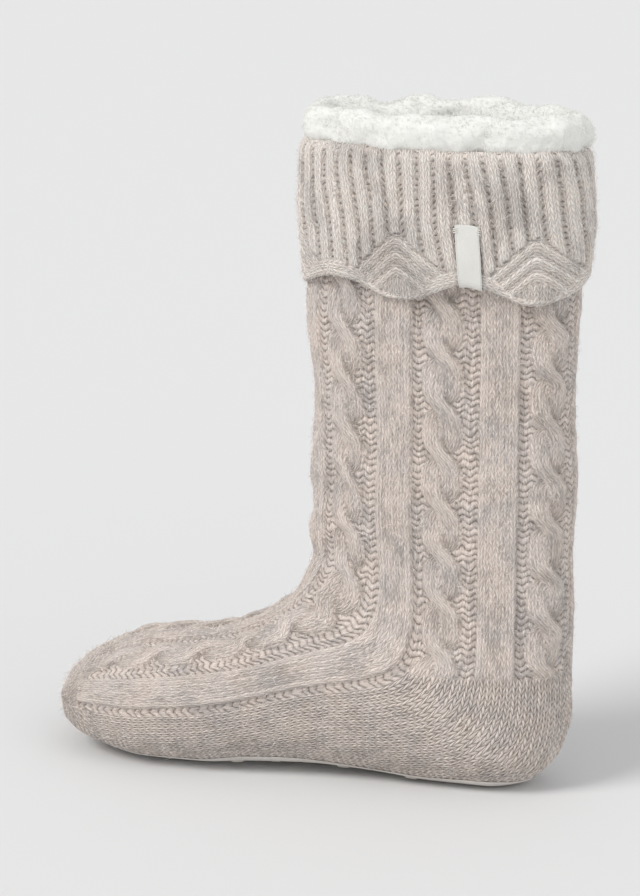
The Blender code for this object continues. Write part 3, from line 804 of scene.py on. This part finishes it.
# Painted shade in the troughs between ribs and along the sides of the edge band; painted highlight on the rib
# crowns, and a little over the band, the vees and the lobe.
cuff_hollow = np.where(band, 0.25 * (1 - band_dome), np.clip(1 - trough, 0, 1) * 0.72) * over_fold
cuff_hollow -= np.where(band | in_vee | in_lobe, 0.06, 0.20 * rib_dome**2)
sway = lumps(cuff_rings, 0.05, 21) * 0.7 + lumps(cuff_rings, 0.012, 22) * 0.2
cuff_wale = cuff_wale + lumps(cuff_rings, 0.010, 25) * 0.07
cuff_row = cuff_row + lumps(cuff_rings, 0.0075, 26) * (0.07 + 0.08 * cuff_purl)
cuff_stitch_mm = stitch_relief(cuff_wale, cuff_row, cuff_purl) * (0.26 + 0.2 * cuff_purl) * on_face
cuff_mm = cuff_height_mm + cuff_stitch_mm - CUFF_SINK_MM + sway * on_face
cuff_rings_out = cuff_rings + cuff_normals * (cuff_mm * 0.001)[:, :, None]

cuff_yarn = yarn_material("cuff yarn", CUFF_LIGHT, CUFF_ROSE, CUFF_GREY, 0.70, 0.15, 0.64)
cuff_data = np.stack((cuff_wale, cuff_row, cuff_purl), axis=-1)
cuff_shades = {"hollow": cuff_hollow, "crisp": np.full(cuff_hollow.shape, 0.45)}
cuff = grid_mesh("cuff_knit", cuff_rings_out, cuff_yarn, stitch=cuff_data, **cuff_shades)
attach(cuff, "root")
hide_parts("turned_cuff")
cuff_face = slice(10, CUFF_ROWS - 8)
strands = brushed_hairs(cuff_rings_out[cuff_face], surface_normals(cuff_rings_out)[cuff_face], 9000, 53)
loose_fibres("fuzz_on_cuff", strands, HAIR_WIDTH, fuzz, "turned_cuff")

# ---------------------------------------------------------------------------------------------------------
# Side label: a short length of fine woven ribbon, bare. It is folded round the cuff's free edge, stands a
# little askew and is caught down with a few stitches of thread at its upper corners.
# ---------------------------------------------------------------------------------------------------------
LABEL_TURN = 0.322
LABEL_WIDTH_MM = 11.0
LABEL_LENGTH_MM = 27.0
LABEL_FOLD_MM = 5.0
LABEL_LIFT_MM = 0.35
LABEL_WALL = 0.00045
LABEL_ASKEW = radians(4.2)


def on_cuff(turn, from_edge, lift_mm):
    """A point this far over the tops of the cuff's ribs, at this turn and way up from its edge."""
    column = turn % 1 * CUFF_COLUMNS
    left = int(column) % CUFF_COLUMNS
    share = column - int(column)
    found = []
    for place in (left, (left + 1) % CUFF_COLUMNS):
        rib_tops = (RIB_RISE_MM - CUFF_SINK_MM) * on_face[:, place]
        raised = rib_tops + sway[:, place] * on_face[:, place] + lift_mm
        lifted = cuff_rings[:, place] + cuff_normals[:, place] * (raised * 0.001)[:, None]
        found.append([np.interp(from_edge, from_edge_mm[:, place], lifted[:, axis]) for axis in range(3)])
    return np.array(found[0]) * (1 - share) + np.array(found[1]) * share


def label_turn(across_mm, up):
    """Turn of a place on the label, which stands askew."""
    return LABEL_TURN + (across_mm - np.tan(LABEL_ASKEW) * (up - 12)) / rim_girth_mm


label_rows = np.linspace(-LABEL_FOLD_MM, LABEL_LENGTH_MM, 66)
label_columns = np.linspace(-0.5, 0.5, 24)
label_grid = np.zeros((len(label_rows), len(label_columns), 3))
for index, up in enumerate(label_rows):
    for place, aside in enumerate(label_columns):
        bow = 0.35 * np.sin(pi * np.clip(up / LABEL_LENGTH_MM, 0, 1))
        bow += 0.25 * eased(up, 24, 27) * abs(aside) * 2
        turn = label_turn(aside * LABEL_WIDTH_MM, up)
        label_grid[index, place] = on_cuff(turn, up, LABEL_LIFT_MM + bow * 0.6)

woven, woven_tree = new_material("woven ribbon")
ribbon_x, ribbon_y, _ = parted(woven_tree, reading(woven_tree, "ribbon", "Vector"))
warp = (((ribbon_x / 0.34).fract() - 0.5).abs() * 2.0) ** 2.0
weft = ((((ribbon_y + ribbon_x * 0.35) / 0.30).fract() - 0.5).abs() * 2.0) ** 2.0
selvedge = ((ribbon_x.abs() - 4.95).abs() * -1.0).between(-0.30, 0.0)
thread_noise = clouds(woven_tree, (ribbon_x * 0.6, ribbon_y * 3.0, 0.0), 1.2, 3.0, 0.6)
weave = 1.0 - (warp * 0.5 + weft * 0.5)
ribbon_colour = mixed(woven_tree, weave * 0.55 + thread_noise * 0.40, rgb("#D3D2CB"), rgb("#F6F5F0"))
ribbon_colour = mixed(woven_tree, selvedge * 0.35, ribbon_colour, rgb("#BDBBB3"))
weave_normal = bumped(woven_tree, weave + selvedge * 0.8 + thread_noise * 0.3, 0.00018, 0.8)
finish_material(woven_tree, ribbon_colour, 0.62, weave_normal, Specular_IOR_Level=0.35, Sheen_Weight=0.15)
label = grid_mesh("side_ribbon", label_grid, woven, False)
ribbon_places = np.broadcast_arrays(label_columns[None, :] * LABEL_WIDTH_MM, label_rows[:, None], 0.0)
write_on(label.data, "ribbon", np.stack(ribbon_places, axis=-1), "FLOAT_VECTOR")
wall = label.modifiers.new("wall", "SOLIDIFY")
wall.thickness = LABEL_WALL
wall.offset = 1

thread, thread_tree = new_material("sewing thread")
thread_twist = clouds(thread_tree, position(thread_tree), 2600.0, 2.0)
thread_colour = mixed(thread_tree, thread_twist, rgb("#D8D4CD"), rgb("#F5F2EC"))
finish_material(thread_tree, thread_colour, 0.7, bumped(thread_tree, thread_twist, 0.0002, 0.6))
stitches = bpy.data.curves.new("label_stitches", "CURVE")
stitches.dimensions = "3D"
stitches.bevel_depth = 0.00022
stitches.bevel_resolution = 2
for aside in (-1, 1):
    for up, reach in ((25.6, 1.5), (24.8, 1.7), (23.9, 1.5)):
        spline = stitches.splines.new("POLY")
        spline.points.add(6)
        for index, step in enumerate(np.linspace(0, 1, 7)):
            across_mm = aside * (LABEL_WIDTH_MM / 2 + 0.7 - step * (reach + 0.7))
            lift = LABEL_LIFT_MM + 0.62 * sin(pi * step) ** 0.5 + (0.25 if step > 0.3 else 0.0)
            spline.points[index].co = (*on_cuff(label_turn(across_mm, up), up + 0.25 * step, lift), 1)
stitches.materials.append(thread)
for piece in (label, placed("label_stitches", stitches)):
    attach(piece, "root")
    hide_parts("side_label")

# ---------------------------------------------------------------------------------------------------------
# Sherpa lining: white curly pile on a knitted back, sewn in down to the toe. At the collar it rolls over the
# folded edge of the cuff and stands up as a plump, lumpy ring of curls.
# ---------------------------------------------------------------------------------------------------------
ROLL_MIDDLE_OUT, ROLL_MIDDLE_UP = -0.0024, 0.0064
ROLL_HALF_WIDTH, ROLL_HALF_HEIGHT = 0.0068, 0.0080
ROLL_FROM, ROLL_TO = radians(-62), radians(205)
COLLAR_DEPTH = 0.034
FULL_DEPTH = 0.0073
ROLL_COLUMNS = 400
ROLL_ROWS = 42
COLLAR_ROWS = 16
CURL_SIZE_MM = (0.40, 0.95)
CURL_WIDTH = 0.00016
SHERPA_WHITE = rgb("#E6E6E2")
SHERPA_SHADE = rgb("#DBDAD4")


def pile_material(name):
    """White pile in tight curls: small rings and lumps, with a little shade between them."""
    material, tree = new_material(name)
    place = position(tree)
    twist = shader_node(tree, "ShaderNodeTexNoise", None, Vector=place, Scale=260.0, Detail=1.0).out("Color")
    settings = {"operation": "MULTIPLY_ADD"}
    offsets = {"n0": twist, "n1": (0.0035, 0.0035, 0.0035), "n2": place}
    bent = shader_node(tree, "ShaderNodeVectorMath", settings, **offsets).out()
    curl = shader_node(tree, "ShaderNodeTexVoronoi", {"feature": "SMOOTH_F1"}, Vector=bent, Scale=420.0)
    curl = curl.out("Distance")
    strand = clouds(tree, bent, 1300.0, 3.0, 0.7)
    height = (1.0 - curl) * 0.8 + strand * 0.45
    colour = mixed(tree, curl.between(0.25, 0.85) * 0.3, SHERPA_WHITE, SHERPA_SHADE)
    # Painted shade where the pile lies low between its lumps.
    colour = mixed(tree, reading(tree, "hollow") * 0.2, colour, rgb("#CDCBC5"))
    soft = {"Specular_IOR_Level": 0.1, "Sheen_Weight": 0.25, "Sheen_Roughness": 0.6}
    finish_material(tree, colour, 0.96, bumped(tree, height, 0.0008, 0.3), **soft)
    return material


roll_turns = np.arange(ROLL_COLUMNS) / ROLL_COLUMNS
roll_angle = np.linspace(ROLL_FROM, ROLL_TO, ROLL_ROWS)
square = np.where(roll_angle < 0, 0.62, 1.0)
aside, upward = np.cos(roll_angle), np.sin(roll_angle)
roll_out = ROLL_MIDDLE_OUT + ROLL_HALF_WIDTH * np.sign(aside) * np.abs(aside) ** square
roll_up = CUFF_TOP + ROLL_MIDDLE_UP + ROLL_HALF_HEIGHT * np.sign(upward) * np.abs(upward) ** square
down_share = np.linspace(0, 1, COLLAR_ROWS + 1)[1:]
roll_out = np.concatenate((roll_out, roll_out[-1] + (-FULL_DEPTH + 0.0004 - roll_out[-1]) * down_share))
roll_up = np.concatenate((roll_up, roll_up[-1] - COLLAR_DEPTH * down_share))
roll_rings = np.array([rim_ring(roll_turns, out, height) for out, height in zip(roll_out, roll_up)])
roll_normals = surface_normals(roll_rings)
lump = lumps(roll_rings, 0.026, 31) + lumps(roll_rings, 0.0115, 32) * 0.6
curly = lumps(roll_rings, 0.0052, 33) * 0.15 + lumps(roll_rings, 0.0028, 34) * 0.07
roll_points = roll_rings + roll_normals * ((lump + curly) * 0.001)[:, :, None]
# Painted shade in the roll's low spots.
roll_hollow = np.clip(-(lump * 0.7 + curly * 1.4) / 1.6, 0, 1)
sherpa = pile_material("sherpa pile")
roll = grid_mesh("sherpa_roll", roll_points, sherpa, hollow=roll_hollow)

inner = slice(9, None, 5)
pile_base = last_rings[inner, ::4] - last_normals[inner, ::4] * FULL_DEPTH
pile_lumps = lumps(pile_base, 0.007, 41) * 0.7 + lumps(pile_base, 0.0042, 42) * 0.5
pile_points = pile_base + last_normals[inner, ::4] * (pile_lumps * 0.001)[:, :, None]
# Painted shade in the lining's low spots.
pile_hollow = np.clip(-pile_lumps, 0, 1)
lining = grid_mesh("sherpa_lining_pile", pile_points[:, ::-1], sherpa, hollow=pile_hollow[:, ::-1])
for piece in (roll, lining):
    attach(piece, "root")
    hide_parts("sherpa_lining")


def curly_hairs(points, normals, count, seed):
    """Short curls of pile: each winds once or so round its own small ring, leaning off the surface."""
    random = np.random.default_rng(seed)
    row = random.integers(2, ROLL_ROWS + COLLAR_ROWS // 2, count)
    column = random.integers(0, points.shape[1], count)
    start, outward = points[row, column], normals[row, column]
    any_way = random.normal(size=(count, 3))
    first = np.cross(outward, any_way)
    first /= np.linalg.norm(first, axis=1, keepdims=True)
    lean = random.uniform(0.25, 1.0, (count, 1))
    second = np.cross(outward, first) * (1 - lean) + outward * lean
    second /= np.linalg.norm(second, axis=1, keepdims=True)
    radius = random.uniform(*CURL_SIZE_MM, (count, 1, 1)) * 0.001
    step = np.linspace(0, 1, 6)[None, :, None]
    angle = random.uniform(0, 2 * pi, (count, 1, 1)) + step * random.uniform(2.6, 5.2, (count, 1, 1))
    wind = first[:, None] * np.cos(angle) + second[:, None] * np.sin(angle)
    drift = (outward[:, None] * 0.5 + any_way[:, None] * 0.35) * step * radius
    paths = start[:, None] + (outward[:, None] * 0.35 + wind * (1 - 0.35 * step)) * radius + drift
    return paths, np.cross(first, second), random.uniform(size=count)


curls, curls_tree = new_material("loose pile")
curl_colour = mixed(curls_tree, reading(curls_tree, "tone"), rgb("#E9E9E5"), rgb("#E3E2DD"))
finish_material(curls_tree, curl_colour, 0.9, Specular_IOR_Level=0.1, Sheen_Weight=0.2)
strands = curly_hairs(roll_points, surface_normals(roll_points), 10500, 61)
loose_fibres("pile_on_roll", strands, CURL_WIDTH, curls, "sherpa_lining")

# ---------------------------------------------------------------------------------------------------------
# Grip tread: a thin film of soft grip compound printed under the foot, with staggered round studs that the
# sock stands on. The film follows the sole and ends in round outlines at the toe and the heel.
# ---------------------------------------------------------------------------------------------------------
TREAD_WALL = 0.0008
TREAD_INSET = 0.011
TREAD_HEEL_INSET = 0.015
TREAD_LENGTH = FOOT_LENGTH - TREAD_INSET - TREAD_HEEL_INSET
STUD_HEIGHT = 0.0006
STUD_RADIUS = 0.003
STUD_PITCH = 0.0160
STUD_SIDES = 20
# Radius and rise of a stud's rings as shares of its own, from inside the film to its flat end.
STUD_RINGS = ((1.0, -0.3), (0.98, 0.35), (0.90, 0.72), (0.76, 0.93), (0.6, 1.0), (0.2, 1.0))
FILM_OUT = 0.0003 + TREAD_WALL
FILM_ROWS, FILM_COLUMNS = 120, 40


def sole_half_width(along):
    """Half the tread's width at a share of its length from the toe end."""
    waist = eased(along, 0.35, 0.70)
    half = (1 - waist) * BALL_WIDTH / 2 + waist * HEEL_WIDTH / 2 - TREAD_INSET
    toe_end = np.clip(1 - along / 0.26, 0, 1)
    heel_end = np.clip((along - 0.86) / 0.14, 0, 1)
    return half * np.sqrt(1 - toe_end**2.4) * np.sqrt(1 - heel_end**2.2)


def tread_place(along):
    return TOE_END + TREAD_INSET + along * TREAD_LENGTH


under_foot = last_rings[1 : RINGS_ON_FOOT - 60 : 2, ::2]
under_faces = quads_between(*under_foot.shape[:2])
sole_tree = BVHTree.FromPolygons(under_foot.reshape(-1, 3).tolist(), under_faces.tolist())


def under_sole(x, y):
    """The point on the film's face under a place on the sole, and the outward way there."""
    spot, way, _, _ = sole_tree.ray_cast(Vector((x, y, -0.1)), Vector((0, 0, 1)))
    if spot is None:
        spot, way, _, _ = sole_tree.find_nearest(Vector((x, y, SOLE_LEVEL)))
    way = way if way.z < 0 else -way
    return spot + way * FILM_OUT, way


film_along = (1 - np.cos(np.linspace(0, pi, FILM_ROWS))) / 2
film_across = np.sin(np.linspace(-pi / 2, pi / 2, FILM_COLUMNS))
film_grid = np.zeros((FILM_ROWS, FILM_COLUMNS, 3))
for index, along in enumerate(np.clip(film_along, 0.0006, 0.9994)):
    for place, across in enumerate(film_across):
        film_grid[index, place] = under_sole(tread_place(along), across * sole_half_width(along))[0]


def grip_material(name, clean, worn):
    """Soft grip compound with a fine pebble, through which the knit prints a little, and some scuffs."""
    material, tree = new_material(name)
    place = position(tree)
    knit_print = clouds(tree, place, 380.0, 2.0)
    pebble = shader_node(tree, "ShaderNodeTexVoronoi", None, Vector=place, Scale=900.0).out("Distance")
    scuff = clouds(tree, place, 45.0, 4.0, 0.65)
    colour = mixed(tree, scuff.between(0.35, 0.7) * 0.6, clean, worn)
    finish_material(
        tree, colour, 0.42 + scuff * 0.25, bumped(tree, pebble * 0.6 + knit_print * 0.7, 0.0003, 0.5),
        Specular_IOR_Level=0.45, Coat_Weight=0.15, Coat_Roughness=0.3,
    )
    return material


film = grid_mesh("grip_film", film_grid, grip_material("grip film", rgb("#DAD5CF"), rgb("#BEB7B0")), False)
wall = film.modifiers.new("wall", "SOLIDIFY")
wall.thickness = TREAD_WALL * 0.8
wall.offset = -1

stud_mesh = bpy.data.meshes.new("grip_studs")
form = bmesh.new()
lanes = int(BALL_WIDTH / 2 / STUD_PITCH) + 1
for row in range(1, int(TREAD_LENGTH / STUD_PITCH) + 1):
    along = row * STUD_PITCH / TREAD_LENGTH
    for lane in range(-lanes, lanes + 1):
        y = (lane + 0.5 * (row % 2)) * STUD_PITCH
        if abs(y) > sole_half_width(along) - STUD_RADIUS - TREAD_WALL:
            continue
        foot, way = under_sole(tread_place(along), y)
        turned = way.to_track_quat("Z", "Y").to_matrix()
        rings = []
        for radius, rise in STUD_RINGS:
            ring = []
            for corner in range(STUD_SIDES):
                turn = 2 * pi * corner / STUD_SIDES
                x_out, y_out = cos(turn) * radius * STUD_RADIUS, sin(turn) * radius * STUD_RADIUS
                ring.append(form.verts.new(foot + turned @ Vector((x_out, y_out, rise * STUD_HEIGHT))))
            rings.append(ring)
        for low, high in zip(rings, rings[1:]):
            for corner in range(STUD_SIDES):
                after = (corner + 1) % STUD_SIDES
                form.faces.new((low[corner], low[after], high[after], high[corner]))
        form.faces.new(rings[-1])
form.to_mesh(stud_mesh)
form.free()
stud_mesh.shade_smooth()
stud_mesh.materials.append(grip_material("grip studs", rgb("#C3BCB4"), rgb("#A9A199")))
for piece in (film, placed("grip_studs", stud_mesh)):
    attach(piece, "root")
    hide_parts("grip_tread")

# ---------------------------------------------------------------------------------------------------------
# Camera at the photograph's angle, soft studio light and a plain pale floor.
# ---------------------------------------------------------------------------------------------------------
CAMERA_TURN = radians(20)
CAMERA_LIFT = radians(14)
CAMERA_AWAY = 1.47
middle = Vector((0.0, 0.0, 0.1455))
back = Vector((sin(CAMERA_TURN) * cos(CAMERA_LIFT), -cos(CAMERA_TURN) * cos(CAMERA_LIFT), sin(CAMERA_LIFT)))
camera = placed("camera", bpy.data.cameras.new("camera"))
camera.data.lens = 133
camera.data.clip_start = 0.05
camera.location = middle + back * CAMERA_AWAY
camera.rotation_euler = back.to_track_quat("Z", "Y").to_euler()
bpy.context.scene.camera = camera

for name, place, strength, spread, tint in (
    ("key", (-0.75, -0.95, 1.15), 1.75, 24, (1.0, 0.985, 0.97)),
    ("fill", (1.3, -0.9, 0.8), 0.50, 60, (0.97, 0.985, 1.0)),
):
    light = bpy.data.lights.new(name, "SUN")
    light.energy, light.angle, light.color = strength, radians(spread), tint
    lamp = placed(name, light)
    lamp.location = place
    lamp.rotation_euler = Vector(place).to_track_quat("Z", "Y").to_euler()

world = bpy.data.worlds.new("studio")
world.use_nodes = True
world.node_tree.nodes["Background"].inputs["Color"].default_value = (0.95, 0.96, 0.97, 1)
world.node_tree.nodes["Background"].inputs["Strength"].default_value = 0.68
bpy.context.scene.world = world
bpy.context.scene.view_settings.view_transform = "Standard"

floor_material, floor_tree = new_material("pale floor")
finish_material(floor_tree, (0.735, 0.735, 0.735), 0.75, Specular_IOR_Level=0.2)
floor_corners = np.array(((-30, -30, 0), (30, -30, 0), (30, 30, 0), (-30, 30, 0)))
placed("floor", quad_mesh("floor", floor_corners, np.arange(4).reshape(1, 4), floor_material))
